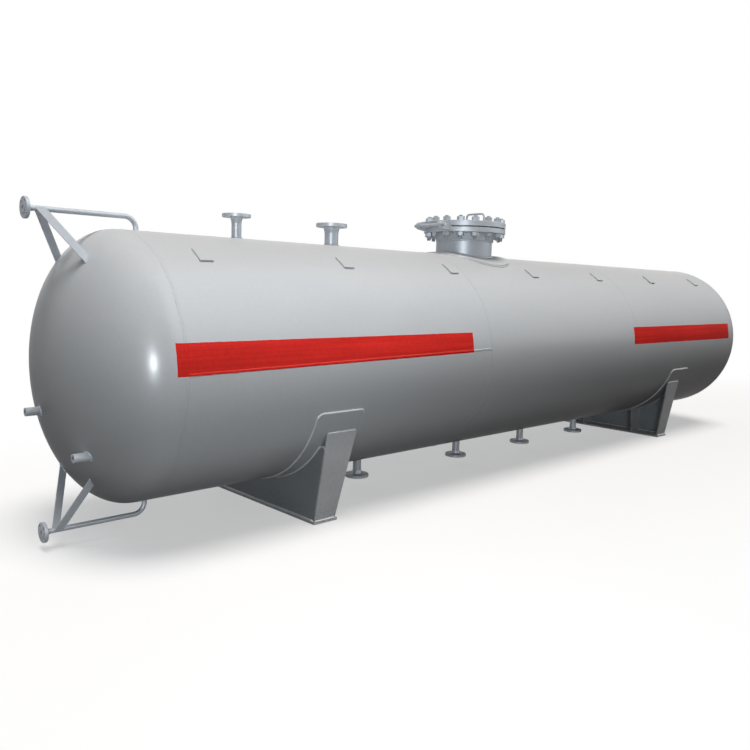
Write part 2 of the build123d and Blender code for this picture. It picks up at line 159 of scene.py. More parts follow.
# Light panels: place and width
front_panel = ((-2.7, -2.9, 1.05), 1.6)
side_panel = ((-7.4, -7.5, 1.85), 1.1)
knuckle_panel = ((-8.6, -6.45, 1.85), 1.1)
left_panel = ((-7.0, -0.5, 7.5), 2.5)
back_panel = ((2.0, 9.0, 4.0), 5.0)
panel_colour = (0.90, 0.955, 1.0)

# Camera: width of its sensor, in mm, and the furthest that it sees
sensor_width = 36
far_clip = 2000

# Each course's own seam: the side it lies on and its height over the axis at both ends
course_seams = ((-1, 0.028, 0.066), (1, 0.629, 0.629), (1, 0.438, 0.438))

shell_nodes = ["left_head", "right_head", "shell_course_1", "shell_course_2", "shell_course_3"]
shell_nodes += ["left_wear_plate", "right_wear_plate", "manway_reinforcing_pad"]
shell_nodes += ["front_support_pads", "back_support_pads"]
saddle_nodes = [
    f"{side}_{piece}" for side in ("left", "right") for piece in ("saddle_base", "saddle_web", "saddle_ribs")
]
shell_nozzles = ["vapour_nozzle", "relief_nozzle"] + [f"bottom_nozzle_{number}" for number in (1, 2, 3, 4)]


def tint(name, description, default):
    return FloatVectorProperty(
        name=name, description=description, subtype="COLOR", size=3, min=0, max=1, default=default
    )


def measure(name, description, default):
    return FloatProperty(
        name=name, description=description, unit="LENGTH", subtype="DISTANCE", default=default
    )


def edge_heights(name, default):
    description = "Heights over the axis of the lower edge at both ends, then of the upper edge"
    return FloatVectorProperty(name=name, description=description, unit="LENGTH", size=4, default=default)


def quantity(name, description, default):
    return FloatProperty(name=name, description=description, default=default)


def wattage(name, description, default):
    return FloatProperty(name=name, description=description, unit="POWER", default=default)


def slant(name, description, degrees):
    return FloatProperty(
        name=name, description=description, subtype="ANGLE", default=math.radians(degrees)
    )


class TankPaint(bpy.types.PropertyGroup):
    """Colours of the tank and the places of its stripes."""

    shell_grey: tint("Shell grey", "Silver-grey paint of the shell and the ends", (0.59, 0.612, 0.632))
    stripe_red: tint("Stripe red", "Paint of the two stripes", (0.76, 0.033, 0.026))
    fitting_grey: tint("Fitting grey", "Paint of the nozzles, manway and gauge lines", (0.54, 0.575, 0.615))
    saddle_grey: tint("Saddle grey", "Paint of the saddles' end plates, ribs and bases", (0.63, 0.645, 0.66))
    # The webs' darker grey is painted shade: a darker copy of the saddle paint for the shade that falls on
    # the webs under the tank
    shaded_web_grey: tint("Web grey", "Darker paint of the saddles' webs", (0.40, 0.425, 0.45))
    # The welds' lighter grey is a painted highlight: it makes the saddles' and wear plates' weld beads
    # lighter, as if they caught the light
    weld_highlight_grey: tint("Weld highlight grey", "Lighter paint brushed over the saddles' welds", (0.80, 0.81, 0.82))
    dust: tint("Dust", "Dry dust that settles on faces that look up", (0.60, 0.565, 0.53))
    gasket_grey: tint("Gasket grey", "Pressed fibre of the manway gasket", (0.10, 0.102, 0.105))
    worn_steel: tint("Worn steel", "Bare steel of the hinge pin", (0.42, 0.41, 0.40))
    left_stripe_start: measure("Left stripe start", "Where the left stripe starts, along the tank", -3.136)
    left_stripe_end: measure("Left stripe end", "Where the left stripe stops, along the tank", -1.027)
    left_stripe_edges: edge_heights("Left stripe edges", (0.0225, 0.0505, 0.1765, 0.179))
    right_stripe_start: measure("Right stripe start", "Where the right stripe starts, along the tank", 1.113)
    right_stripe_end: measure("Right stripe end", "Where the right stripe stops, along the tank", 3.100)
    right_stripe_edges: edge_heights("Right stripe edges", (0.033, 0.0295, 0.1765, 0.1805))


class TankWelds(bpy.types.PropertyGroup):
    """Sizes of the weld beads."""

    seam_width: measure("Seam width", "Width of the butt welds between courses and heads", 0.015)
    seam_height: measure("Seam height", "Height of the butt welds over the plate", 0.0013)
    fillet_leg: measure("Fillet leg", "Size of the fillet welds on the shell and the saddles", 0.0075)
    small_leg: measure("Small leg", "Size of the fillet welds on pipes and braces", 0.0045)
    ripple_pitch: measure("Ripple pitch", "Distance between the ripples of a bead", 0.011)


class TankStuds(bpy.types.PropertyGroup):
    """Sizes of the manway's studs and nuts."""

    count: IntProperty(name="Count", description="Studs round the manway", default=16, min=4)
    circle: measure("Bolt circle", "Diameter of the circle of studs", 0.550)
    diameter: measure("Stud diameter", "Thread diameter of the studs", 0.030)
    pitch: measure("Thread pitch", "Distance between the threads", 0.0035)
    nut_width: measure("Nut width", "Width of the nuts across their flats", 0.050)
    nut_height: measure("Nut height", "Height of the nuts", 0.028)
    top_reach: measure("Top reach", "How far the studs stand over the cover", 0.038)
    bottom_reach: measure("Bottom reach", "How far the studs hang under the flange", 0.052)
    flange_thickness: measure("Flange thickness", "Thickness of the manway flange's rim", 0.034)


class TankStage(bpy.types.PropertyGroup):
    """Floor, light and camera."""

    floor_colour: tint("Floor", "Colour of the floor", (0.90, 0.90, 0.90))
    sky_level: quantity("Sky level", "Soft light from all over the top", 0.08)
    key_level: quantity("Key level", "Strength of the large light overhead", 2.68)
    key_elevation: slant("Key elevation", "How high the overhead light stands", 79)
    gleam_level: quantity("Gleam level", "Strength of the sky's soft gleam on the paint", 2.3)
    front_power: wattage("Front power", "Power of the panel before the tank", 10)
    side_power: wattage("Side power", "Power of the small panel behind the camera", 100)
    glint_power: wattage("Glint power", "Power of the panel that gleams on the knuckle", 480)
    left_power: wattage("Left power", "Power of the high panel off the left end", 78)
    back_power: wattage("Back power", "Power of the panel behind the tank", 160)
    camera_place: FloatVectorProperty(
        name="Camera place", description="Where the camera stands", subtype="TRANSLATION", unit="LENGTH",
        default=(-4.7677, -3.7213, 1.3636),
    )
    camera_yaw: slant("Camera yaw", "Turn of the view from the tank's length", 46.462)
    camera_pitch: slant("Camera pitch", "Tilt of the view", -6.838)
    camera_roll: slant("Camera roll", "Roll of the view", 1.612)
    camera_lens: quantity("Lens", "Focal length, in mm", 35.40)


# Shader node groups


def new_group(name, inputs, outputs):
    """A shader node group with inputs that have defaults. Gives it, its inputs and its output node."""
    group = bpy.data.node_groups.new(name, "ShaderNodeTree")
    for label, default in inputs.items():
        kind = "NodeSocketColor" if isinstance(default, tuple) else "NodeSocketFloat"
        socket = group.interface.new_socket(label, in_out="INPUT", socket_type=kind)
        socket.default_value = default
    for label in outputs:
        kind = "NodeSocketColor" if label == "Colour" else "NodeSocketFloat"
        group.interface.new_socket(label, in_out="OUTPUT", socket_type=kind)
    return group, group.nodes.new("NodeGroupInput").outputs, group.nodes.new("NodeGroupOutput")


def feed(tree, node, links):
    """Sets or links a node's inputs by name or number."""
    for key, value in links.items():
        if isinstance(value, bpy.types.NodeSocket):
            tree.links.new(value, node.inputs[key])
        else:
            node.inputs[key].default_value = value


def add_node(tree, kind, links=None, **settings):
    """Adds a node, sets its properties and feeds its inputs."""
    node = tree.nodes.new(kind)
    for key, value in settings.items():
        setattr(node, key, value)
    feed(tree, node, links or {})
    return node


def maths(tree, operation, *values):
    """A Math node's result."""
    return add_node(tree, "ShaderNodeMath", dict(enumerate(values)), operation=operation).outputs[0]


def spread(tree, value, low, high, to_low=0.0, to_high=1.0):
    """A value mapped smoothly from one range to another."""
    links = {"Value": value, "From Min": low, "From Max": high, "To Min": to_low, "To Max": to_high}
    return add_node(tree, "ShaderNodeMapRange", links, interpolation_type="SMOOTHSTEP").outputs["Result"]


def mixed(tree, factor, first, second):
    """Two colours mixed by a factor."""
    links = {0: factor, 6: first, 7: second}
    return add_node(tree, "ShaderNodeMix", links, data_type="RGBA").outputs[2]


def scaled(tree, colour, level):
    """A colour made lighter or darker."""
    links = {0: colour, "Scale": level}
    return add_node(tree, "ShaderNodeVectorMath", links, operation="SCALE").outputs[0]


def stretched(tree, place, scale):
    """A place stretched along each axis."""
    return add_node(tree, "ShaderNodeMapping", {"Vector": place, "Scale": scale}).outputs[0]


def noise(tree, place, scale, detail=3.0, roughness=0.55):
    """A noise value from 0 to 1."""
    links = {"Vector": place, "Scale": scale, "Detail": detail, "Roughness": roughness}
    return add_node(tree, "ShaderNodeTexNoise", links).outputs["Fac"]


def swing(tree, place, scale, detail, roughness=0.55):
    """A noise value that swings from -1 to 1."""
    return spread(tree, noise(tree, place, scale, detail, roughness), 0.3, 0.7, -1.0, 1.0)


def object_place(tree):
    """The place on a piece, in its own frame."""
    return add_node(tree, "ShaderNodeTexCoord").outputs["Object"]


def sprayed_tone_group():
    """Broad and fine changes of tone in sprayed paint."""
    group, given, result = new_group(
        "Sprayed tone", {"Colour": (0.6, 0.6, 0.6, 1), "Broad": 0.05, "Fine": 0.03}, ["Colour"]
    )
    place = object_place(group)
    broad = swing(group, stretched(group, place, (0.5, 1.0, 1.6)), 1.7, 4.0)
    fine = swing(group, place, 46.0, 5.0, 0.65)
    fine_level = maths(group, "MULTIPLY_ADD", fine, given["Fine"], 1.0)
    level = maths(group, "MULTIPLY_ADD", broad, given["Broad"], fine_level)
    feed(group, result, {"Colour": scaled(group, given["Colour"], level)})
    return group


def settled_dust_group():
    """Dry dust on faces that look up, thicker in patches."""
    group, given, result = new_group(
        "Settled dust",
        {"Colour": (0.6, 0.6, 0.6, 1), "Dust": (0.66, 0.62, 0.57, 1), "Amount": 0.3},
        ["Colour", "Mask"],
    )
    normal = add_node(group, "ShaderNodeNewGeometry").outputs["Normal"]
    upward = add_node(group, "ShaderNodeSeparateXYZ", {0: normal}).outputs["Z"]
    facing = spread(group, upward, 0.55, 1.0)
    patches = spread(group, noise(group, object_place(group), 7.0, 6.0, 0.6), 0.3, 0.75, 0.85, 1.0)
    mask = maths(group, "MULTIPLY", maths(group, "MULTIPLY", facing, patches), given["Amount"])
    colour = mixed(group, mask, given["Colour"], given["Dust"])
    feed(group, result, {"Colour": colour, "Mask": mask})
    return group


def spray_skin_group():
    """The skin of sprayed paint: its gloss in patches, and the height of its orange peel."""
    group, given, result = new_group(
        "Spray skin", {"Roughness": 0.4, "Patchiness": 0.008, "Peel": 260.0}, ["Roughness", "Height"]
    )
    place = object_place(group)
    patches = swing(group, place, 5.0, 5.0, 0.6)
    roughness = maths(group, "MULTIPLY_ADD", patches, given["Patchiness"], given["Roughness"])
    peel = noise(group, place, given["Peel"], 2.0)
    runs = noise(group, place, 22.0, 3.0)
    height = maths(group, "ADD", maths(group, "MULTIPLY", peel, 0.4), maths(group, "MULTIPLY", runs, 0.6))
    feed(group, result, {"Roughness": roughness, "Height": height})
    return group


def ground_splash_group():
    """Dry splashes and a brown film low down, near the ground."""
    group, given, result = new_group(
        "Ground splash",
        {"Colour": (0.5, 0.5, 0.5, 1), "Soil": (0.20, 0.17, 0.14, 1), "Reach": 0.16},
        ["Colour", "Mask"],
    )
    place = object_place(group)
    height = add_node(group, "ShaderNodeSeparateXYZ", {0: place}).outputs["Z"]
    low = spread(group, maths(group, "DIVIDE", height, given["Reach"]), 0.0, 1.0, 1.0, 0.0)
    drops = spread(group, noise(group, place, 70.0, 6.0, 0.7), 0.42, 0.72)
    mask = maths(group, "MULTIPLY", maths(group, "MULTIPLY", low, drops), 0.55)
    colour = mixed(group, mask, given["Colour"], given["Soil"])
    feed(group, result, {"Colour": colour, "Mask": mask})
    return group


def brush_marks_group():
    """Long streaks that a wide brush leaves along the tank."""
    group, given, result = new_group(
        "Brush marks", {"Colour": (0.7, 0.03, 0.03, 1), "Strength": 0.10}, ["Colour"]
    )
    drawn_out = stretched(group, object_place(group), (0.9, 6.0, 60.0))
    streaks = swing(group, drawn_out, 1.0, 4.0, 0.6)
    level = maths(group, "MULTIPLY_ADD", streaks, given["Strength"], 1.0)
    feed(group, result, {"Colour": scaled(group, given["Colour"], level)})
    return group


def use_group(tree, name, make, links):
    """Places a group, made at its first use, and gives its outputs."""
    group = bpy.data.node_groups.get(name) or make()
    return add_node(tree, "ShaderNodeGroup", links, node_tree=group).outputs


# Materials


def cleared_tree(owner):
    """The node tree of a new material or world, with no nodes."""
    owner.use_nodes = True
    owner.node_tree.nodes.clear()
    return owner.node_tree


def opaque(colour):
    """A colour with its alpha."""
    return (*colour, 1.0)


def sprayed(tree, colour, broad, fine):
    """A sprayed paint's colour, with its broad and fine changes of tone."""
    links = {"Colour": opaque(colour), "Broad": broad, "Fine": fine}
    return use_group(tree, "Sprayed tone", sprayed_tone_group, links)["Colour"]


def finish_paint(tree, shader, colour, roughness, dust, splash_reach, bump):
    """Feeds the shader with a paint colour under dust and splashes, and with the skin of sprayed paint."""
    skin = use_group(tree, "Spray skin", spray_skin_group, {"Roughness": roughness})
    splash = use_group(tree, "Ground splash", ground_splash_group, {"Colour": colour, "Reach": splash_reach})
    settled = {"Colour": splash["Colour"], "Dust": opaque(bpy.context.scene.tank_paint.dust), "Amount": dust}
    dusted = use_group(tree, "Settled dust", settled_dust_group, settled)
    dull = maths(tree, "MULTIPLY_ADD", dusted["Mask"], dust_dullness, skin["Roughness"])
    relief = add_node(tree, "ShaderNodeBump", {"Strength": 1.0, "Distance": bump, "Height": skin["Height"]})
    feed(tree, shader, {"Base Color": dusted["Colour"], "Roughness": dull, "Normal": relief.outputs[0]})


def feed_shell_paint(tree, shader):
    """Silver-grey paint with the two red stripes on both sides of the shell."""
    paint = bpy.context.scene.tank_paint
    place = object_place(tree)
    split = add_node(tree, "ShaderNodeSeparateXYZ", {0: place}).outputs
    centred = maths(tree, "SUBTRACT", noise(tree, place, 24.0, 3.0), 0.5)
    wander = maths(tree, "MULTIPLY", centred, stripe_wander)
    height = maths(tree, "ADD", split["Z"], wander)
    length = maths(tree, "ADD", split["X"], wander)

    def between(value, low, high):
        above = maths(tree, "GREATER_THAN", value, low)
        return maths(tree, "MULTIPLY", above, maths(tree, "LESS_THAN", value, high))

    def stripe(start, end, edges):
        share = maths(tree, "DIVIDE", maths(tree, "SUBTRACT", length, start), end - start)
        lower = maths(tree, "MULTIPLY_ADD", share, edges[1] - edges[0], axis_z + edges[0])
        upper = maths(tree, "MULTIPLY_ADD", share, edges[3] - edges[2], axis_z + edges[2])
        return maths(tree, "MULTIPLY", between(share, 0.0, 1.0), between(height, lower, upper))

    left = stripe(paint.left_stripe_start, paint.left_stripe_end, paint.left_stripe_edges)
    right = stripe(paint.right_stripe_start, paint.right_stripe_end, paint.right_stripe_edges)
    grey = sprayed(tree, paint.shell_grey, broad=0.02, fine=0.012)
    red = sprayed(tree, paint.stripe_red, broad=0.08, fine=0.06)
    brushed = use_group(tree, "Brush marks", brush_marks_group, {"Colour": red})["Colour"]
    colour = mixed(tree, maths(tree, "ADD", left, right), grey, brushed)
    finish_paint(tree, shader, colour, roughness=0.29, dust=0.22, splash_reach=0.02, bump=0.0002)
    feed(tree, shader, {"IOR": 1.03, "Metallic": 0.065, "Specular Tint": (0.1, 0.1, 0.1, 1)})


def feed_grey_paint(tree, shader, grey, roughness, metallic, dust, splash_reach):
    """Plain grey paint for fittings and saddles."""
    tone = sprayed(tree, getattr(bpy.context.scene.tank_paint, grey), broad=0.06, fine=0.035)
    finish_paint(tree, shader, tone, roughness, dust, splash_reach, bump=0.0003)
    feed(tree, shader, {"IOR": 1.06, "Metallic": metallic})


def feed_worn_steel(tree, shader):
    """Steel with its paint rubbed through, for the hinge pin."""
    paint = bpy.context.scene.tank_paint
    rubbed = spread(tree, noise(tree, object_place(tree), 60.0, 6.0, 0.65), 0.46, 0.60)
    steel = sprayed(tree, paint.worn_steel, broad=0.08, fine=0.10)
    colour = mixed(tree, rubbed, opaque(paint.fitting_grey), steel)
    finish_paint(tree, shader, colour, roughness=0.42, dust=0.10, splash_reach=0.05, bump=0.0006)
    feed(tree, shader, {"Metallic": maths(tree, "MULTIPLY", rubbed, 0.8)})


def feed_gasket(tree, shader):
    """Pressed fibre sheet."""
    fibres = stretched(tree, object_place(tree), (1.0, 1.0, 6.0))
    fleck = spread(tree, noise(tree, fibres, 400.0, 4.0, 0.7), 0.45, 0.7)
    colour = mixed(tree, fleck, opaque(bpy.context.scene.tank_paint.gasket_grey), opaque(gasket_fleck))
    relief = add_node(tree, "ShaderNodeBump", {"Strength": 0.6, "Distance": 0.0004, "Height": fleck})
    feed(tree, shader, {"Base Color": colour, "Normal": relief.outputs[0], "Roughness": 0.85})


grey_paints = {
    "Fitting paint": dict(grey="fitting_grey", roughness=0.42, metallic=0.25, dust=0.18, splash_reach=0.05),
    "Saddle paint": dict(grey="saddle_grey", roughness=0.34, metallic=0.06, dust=0.20, splash_reach=0.16),
    # The saddle paint made darker for the webs, as painted shade
    "Web paint": dict(grey="shaded_web_grey", roughness=0.34, metallic=0.06, dust=0.20, splash_reach=0.16),
    # Lighter paint on the saddles' and wear plates' welds, as a painted highlight on the beads
    "Weld highlight paint": dict(grey="weld_highlight_grey", roughness=0.30, metallic=0.10, dust=0.10, splash_reach=0.02),
}
other_finishes = {
    "Silver-grey paint": feed_shell_paint,
    "Worn steel": feed_worn_steel,
    "Gasket fibre": feed_gasket,
}
own_finishes = {"manway_gasket": "Gasket fibre", "manway_hinge_pin": "Worn steel"}
bead_finishes = {
    "shell_paint": "Silver-grey paint",
    "fitting_paint": "Fitting paint",
    # The saddles' and wear plates' welds take the lighter paint, which is a painted highlight
    "saddle_paint": "Weld highlight paint",
}


def finish_named(name):
    """A finish's material, made at its first use."""
    if name not in bpy.data.materials:
        tree = cleared_tree(bpy.data.materials.new(name))
        shader = add_node(tree, "ShaderNodeBsdfPrincipled")
        add_node(tree, "ShaderNodeOutputMaterial", {0: shader.outputs[0]})
        if name in grey_paints:
            feed_grey_paint(tree, shader, **grey_paints[name])
        else:
            other_finishes[name](tree, shader)
    return bpy.data.materials[name]


def coat_node(node, finish):
    """Gives a CAD node its finish."""
    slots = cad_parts[node].data.materials
    slots.clear()
    slots.append(finish_named(finish))


# Meshes


def new_mesh(name, parts, finish):
    """A smooth mesh of several parts in one finish: each part is its vertices and faces."""
    vertices, faces = [], []
    for part_vertices, part_faces in parts:
        start = len(vertices)
        vertices += [tuple(vertex) for vertex in part_vertices]
        faces += [tuple(v + start for v in face) for face in part_faces]
    mesh = bpy.data.meshes.new(name)
    mesh.from_pydata(vertices, [], faces)
    mesh.validate()
    mesh.materials.append(finish_named(finish))
    mesh.shade_smooth()
    return mesh


def new_object(name, data):
    """An object in the scene."""
    made = bpy.data.objects.new(name, data)
    bpy.context.scene.collection.objects.link(made)
    return made


def add_piece(name, mesh, place=(0, 0, 0), angle=0.0):
    """A piece that belongs to the tank, put in place and turned about the upright."""
    piece = new_object(name, mesh)
    piece.location = place
    piece.rotation_euler = (0, 0, angle)
    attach(piece, "root")


def ring_faces(rows, sides, start=0, closed=False):
    """Faces between rows of vertices in rings, of which the first begins at start."""
    faces = []
    for i in range(rows if closed else rows - 1):
        a, b = start + i * sides, start + (i + 1) % rows * sides
        for k in range(sides):
            m = (k + 1) % sides
            faces.append((a + k, a + m, b + m, b + k))
    return faces


def resampled(path, step, closed):
    """Points at even steps along a path."""
    points = np.asarray(path, float)
    if closed:
        points = np.vstack([points, points[:1]])
    lengths = np.r_[0, np.cumsum(np.linalg.norm(np.diff(points, axis=0), axis=1))]
    count = max(least_bead_steps, int(round(lengths[-1] / step)))
    places = np.linspace(0, lengths[-1], count + 1)
    if closed:
        places = places[:-1]
    return np.stack([np.interp(places, lengths, points[:, k]) for k in range(3)], axis=1)


def unit(vectors):
    """Vectors of length 1."""
    return vectors / np.maximum(np.linalg.norm(vectors, axis=-1, keepdims=True), 1e-9)


def bead_mesh(path, outward, width, height, closed, seed):
    """A rippled weld bead along a path: outward gives the way it bulges at each point."""
    welds = bpy.context.scene.tank_welds
    points = resampled(path, welds.ripple_pitch / steps_per_ripple, closed)
    count = len(points)
    along = np.roll(points, -1, axis=0) - np.roll(points, 1, axis=0)
    if not closed:
        along[0], along[-1] = points[1] - points[0], points[-1] - points[-2]
    along = unit(along)
    up = unit(outward(points))
    up = unit(up - along * (up * along).sum(1, keepdims=True))
    side = np.cross(along, up)
    chance = np.random.default_rng(seed)
    ripples = max(2, int(round(count / steps_per_ripple)))
    places = np.arange(count)
    phase = places * ripples / count * 2 * math.pi
    uneven = np.interp(places, np.linspace(0, count, ripples + 1), chance.normal(0, 1, ripples + 1))
    ends = np.ones(count)
    if not closed:
        ends = np.clip(np.minimum(places, places[::-1]) / steps_per_ripple, bead_end_share, 1.0)
    vertices = []
    for k in range(bead_sides):
        angle = 2 * math.pi * k / bead_sides
        ripple = ripple_depth * np.cos(phase + ripple_lag * abs(math.cos(angle)))
        reach = ((1 + ripple + bead_unevenness * uneven) * ends)[:, None]
        wander = (bead_wander * width * uneven * ends)[:, None] * side
        swell = side * math.cos(angle) * width / 2 + up * math.sin(angle) * height
        vertices.append(points + wander + reach * swell)
    vertices = np.stack(vertices, axis=1).reshape(-1, 3)
    faces = ring_faces(count, bead_sides, closed=closed)
    if not closed:
        last = (count - 1) * bead_sides
        faces.append(tuple(range(bead_sides))[::-1])
        faces.append(tuple(last + k for k in range(bead_sides)))
    return vertices, faces


def add_beads(name, beads, slot):
    """One piece of several beads: each is (path, outward, width, height, closed)."""
    parts = [bead_mesh(*bead, seed=11 * number + len(name)) for number, bead in enumerate(beads)]
    add_piece(name, new_mesh(name, parts, bead_finishes[slot]))


def from_axis(points):
    """The way out from the tank's axis at each point."""
    out = points - np.array([0, 0, axis_z])
    out[:, 0] = 0
    return out


def towards(direction):
    """The same way out at every point."""
    return lambda points: np.tile(np.array(direction, float), (len(points), 1))


def away_from(centre):
    """The way out from one point."""
    return lambda points: points - np.array(centre, float)


def from_upright(x):
    """The level way out from the upright line through the tank's axis at x."""
    return lambda points: (points - np.array([x, 0, 0])) * (1, 1, 0)


def curve(x, y, z):
    """Points from their X, Y and Z: a single value holds for all of them."""
    return np.stack(np.broadcast_arrays(x, y, z), axis=1)


def ring_on_shell(x, radius, surface_r, side):
    """Where an upright pipe meets the round shell or a pad on it."""
    across = radius * np.sin(ring_angles)
    rise = np.sqrt(surface_r**2 - across**2)
    return curve(x + radius * np.cos(ring_angles), across, axis_z + side * rise)


def level_ring(x, y, z, radius):
    """A flat ring about an upright line."""
    return curve(x + radius * np.cos(ring_angles), y + radius * np.sin(ring_angles), z)


def upright_ring(x, y, z, radius):
    """A ring about a line along the tank."""
    return curve(x, y + radius * np.cos(ring_angles), z + radius * np.sin(ring_angles))


def head_x(y, z):
    """The X of the left head's outer face at a place in the tank's cross-section."""
    share = (np.square(y) + np.square(z - axis_z)) / shell_r**2
    return left_tangent_x - head_depth * np.sqrt(np.maximum(0, 1 - share))


def straight(start, end, count=24):
    """Points along a straight line."""
    share = np.linspace(0, 1, count)[:, None]
    return np.array(start, float) * (1 - share) + np.array(end, float) * share


# Operators, each after the functions that it alone uses


class TANK_OT_coat_shell(bpy.types.Operator):
    """Paints the shell courses, both ends and the plates that lie on them, with the stripes"""

    bl_idname = "tank.coat_shell"
    bl_label = "Paint shell"

    def execute(self, context):
        for node in shell_nodes:
            coat_node(node, "Silver-grey paint")
        return {"FINISHED"}


class TANK_OT_coat_saddles(bpy.types.Operator):
    """Paints the saddles"""

    bl_idname = "tank.coat_saddles"
    bl_label = "Paint saddles"

    def execute(self, context):
        for node in saddle_nodes:
            # The webs take the darker copy of the saddle paint, which is painted shade
            coat_node(node, "Web paint" if node.endswith("web") else "Saddle paint")
        return {"FINISHED"}


class TANK_OT_coat_fittings(bpy.types.Operator):
    """Paints the nozzles, gauge lines and manway, and finishes the gasket and the hinge pin"""

    bl_idname = "tank.coat_fittings"
    bl_label = "Paint fittings"

    def execute(self, context):
        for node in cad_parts:
            if node not in shell_nodes + saddle_nodes:
                coat_node(node, own_finishes.get(node, "Fitting paint"))
        return {"FINISHED"}


class TANK_OT_weld_seams(bpy.types.Operator):
    """Lays the butt welds between the courses and the ends, and along each course"""

    bl_idname = "tank.weld_seams"
    bl_label = "Weld seams"

    def execute(self, context):
        welds = context.scene.tank_welds
        width, height = welds.seam_width, welds.seam_height
        for number, x in enumerate(girth_seams, start=1):
            bead = (upright_ring(x, 0, axis_z, shell_r), from_axis, width, height, True)
            add_beads(f"girth_seam_{number}", [bead], "shell_paint")
        for number, (side, start, end) in enumerate(course_seams, start=1):
            left, right = girth_seams[number - 1], girth_seams[number]
            path = straight((left, 0, axis_z + start), (right, 0, axis_z + end))
            path[:, 1] = side * np.sqrt(shell_r**2 - (path[:, 2] - axis_z) ** 2)
            bead = (path, from_axis, width, height, False)
            add_beads(f"length_seam_{number}", [bead], "shell_paint")
        return {"FINISHED"}


class TANK_OT_weld_nozzles(bpy.types.Operator):
    """Lays the welds of the top and bottom nozzles: on the shell, and between pipe and flange"""

    bl_idname = "tank.weld_nozzles"
    bl_label = "Weld nozzles"

    def execute(self, context):
        leg = context.scene.tank_welds.fillet_leg
        for nozzle in shell_nozzles:
            low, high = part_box(f"{nozzle}_pipe")
            x, radius = (low.x + high.x) / 2, (high.x - low.x) / 2
            side = 1 if high.z > axis_z else -1
            root = ring_on_shell(x, radius, shell_r, side)
            neck = level_ring(x, 0, high.z if side > 0 else low.z, radius)
            centre = (x, 0, axis_z + side * shell_r * nozzle_root_share)
            beads = [
                (root, away_from(centre), leg * 1.7, leg * 0.85, True),
                (neck, from_upright(x), *nozzle_neck_weld, True),
            ]
            add_beads(f"{nozzle}_welds", beads, "fitting_paint")
        return {"FINISHED"}


def on_head(points, run):
    """Slides points along a brace's run to the left head's outer face."""
    scale = np.array([1 / head_depth, 1 / shell_r, 1 / shell_r])
    start = (points - np.array([left_tangent_x, 0, axis_z])) * scale
    step = run * scale
    a, b, c = step @ step, start @ step, (start * start).sum(1) - 1
    travel = (-b - np.sqrt(np.maximum(0, b * b - a * c))) / a
    return points + travel[:, None] * run


def brace_beads(name, radius, pipe_z, side, leg):
    """Beads round the feet of the two braces, and where they meet the pipe."""
    top_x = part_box(f"{name}_gauge_flange")[0].x + brace_top_setback
    foot_x = float(head_x(brace_foot_y, axis_z + brace_foot_rise))
    beads = []
    for hand in (-1, 1):
        top = np.array([top_x, 0, pipe_z])
        foot = np.array([foot_x, hand * brace_foot_y, axis_z + side * brace_foot_rise])
        run = unit(foot - top)
        across = unit(np.cross((0, 1, 0), run))
        out = np.cross(run, across)
        middle = top + out * hand * (radius + brace_thickness / 2)
        signs = ((1, 1), (1, -1), (-1, -1), (-1, 1), (1, 1))
        corners = [middle + across * a * brace_width / 2 + out * b * brace_thickness / 2 for a, b in signs]
        edge = np.vstack([straight(start, end)[:-1] for start, end in zip(corners, corners[1:])])
        behind_foot = foot + np.array([brace_width / 2, 0, 0])
        beads.append((on_head(edge, run), away_from(behind_foot), leg * 1.6, leg * 0.8, True))
        for tilt in (-brace_weld_tilt, brace_weld_tilt):
            y = hand * radius * math.cos(tilt)
            z = pipe_z + radius * math.sin(tilt)
            path = straight((top_x - brace_width / 2, y, z), (top_x + brace_width / 2, y, z), 8)
            beads.append((path, away_from((top_x, 0, pipe_z)), leg, leg * 0.6, False))
    return beads


class TANK_OT_weld_gauge_lines(bpy.types.Operator):
    """Lays the welds of the gauge lines, their braces and the stubs on the left end"""

    bl_idname = "tank.weld_gauge_lines"
    bl_label = "Weld gauge lines"

    def execute(self, context):
        leg = context.scene.tank_welds.small_leg
        for name, side in (("upper", 1), ("lower", -1)):
            low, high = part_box(f"{name}_gauge_pipe")
            radius = (high.y - low.y) / 2
            root_x = high.x - radius
            pipe_z = high.z - radius if side > 0 else low.z + radius
            root = ring_on_shell(root_x, radius, shell_r, side)
            neck = upright_ring(low.x, 0, pipe_z, radius)
            centre = (root_x, 0, axis_z + side * shell_r * gauge_root_share)
            beads = [
                (root, away_from(centre), leg * 2, leg, True),
                (neck, away_from((low.x, 0, pipe_z)), *gauge_neck_weld, True),
            ]
            beads += brace_beads(name, radius, pipe_z, side, leg)
            add_beads(f"{name}_gauge_welds", beads, "fitting_paint")
        for stub in ("back_head_stub", "front_head_stub"):
            low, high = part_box(stub)
            y, z, radius = (low.y + high.y) / 2, (low.z + high.z) / 2, (high.y - low.y) / 2
            ring = upright_ring(0, y, z, radius)
            ring[:, 0] = head_x(ring[:, 1], ring[:, 2])
            centre = (head_x(y, z) + stub_root_depth, y, z)
            bead = (ring, away_from(centre), leg * 2.4, leg * 1.3, True)
            add_beads(f"{stub}_weld", [bead], "fitting_paint")
        return {"FINISHED"}


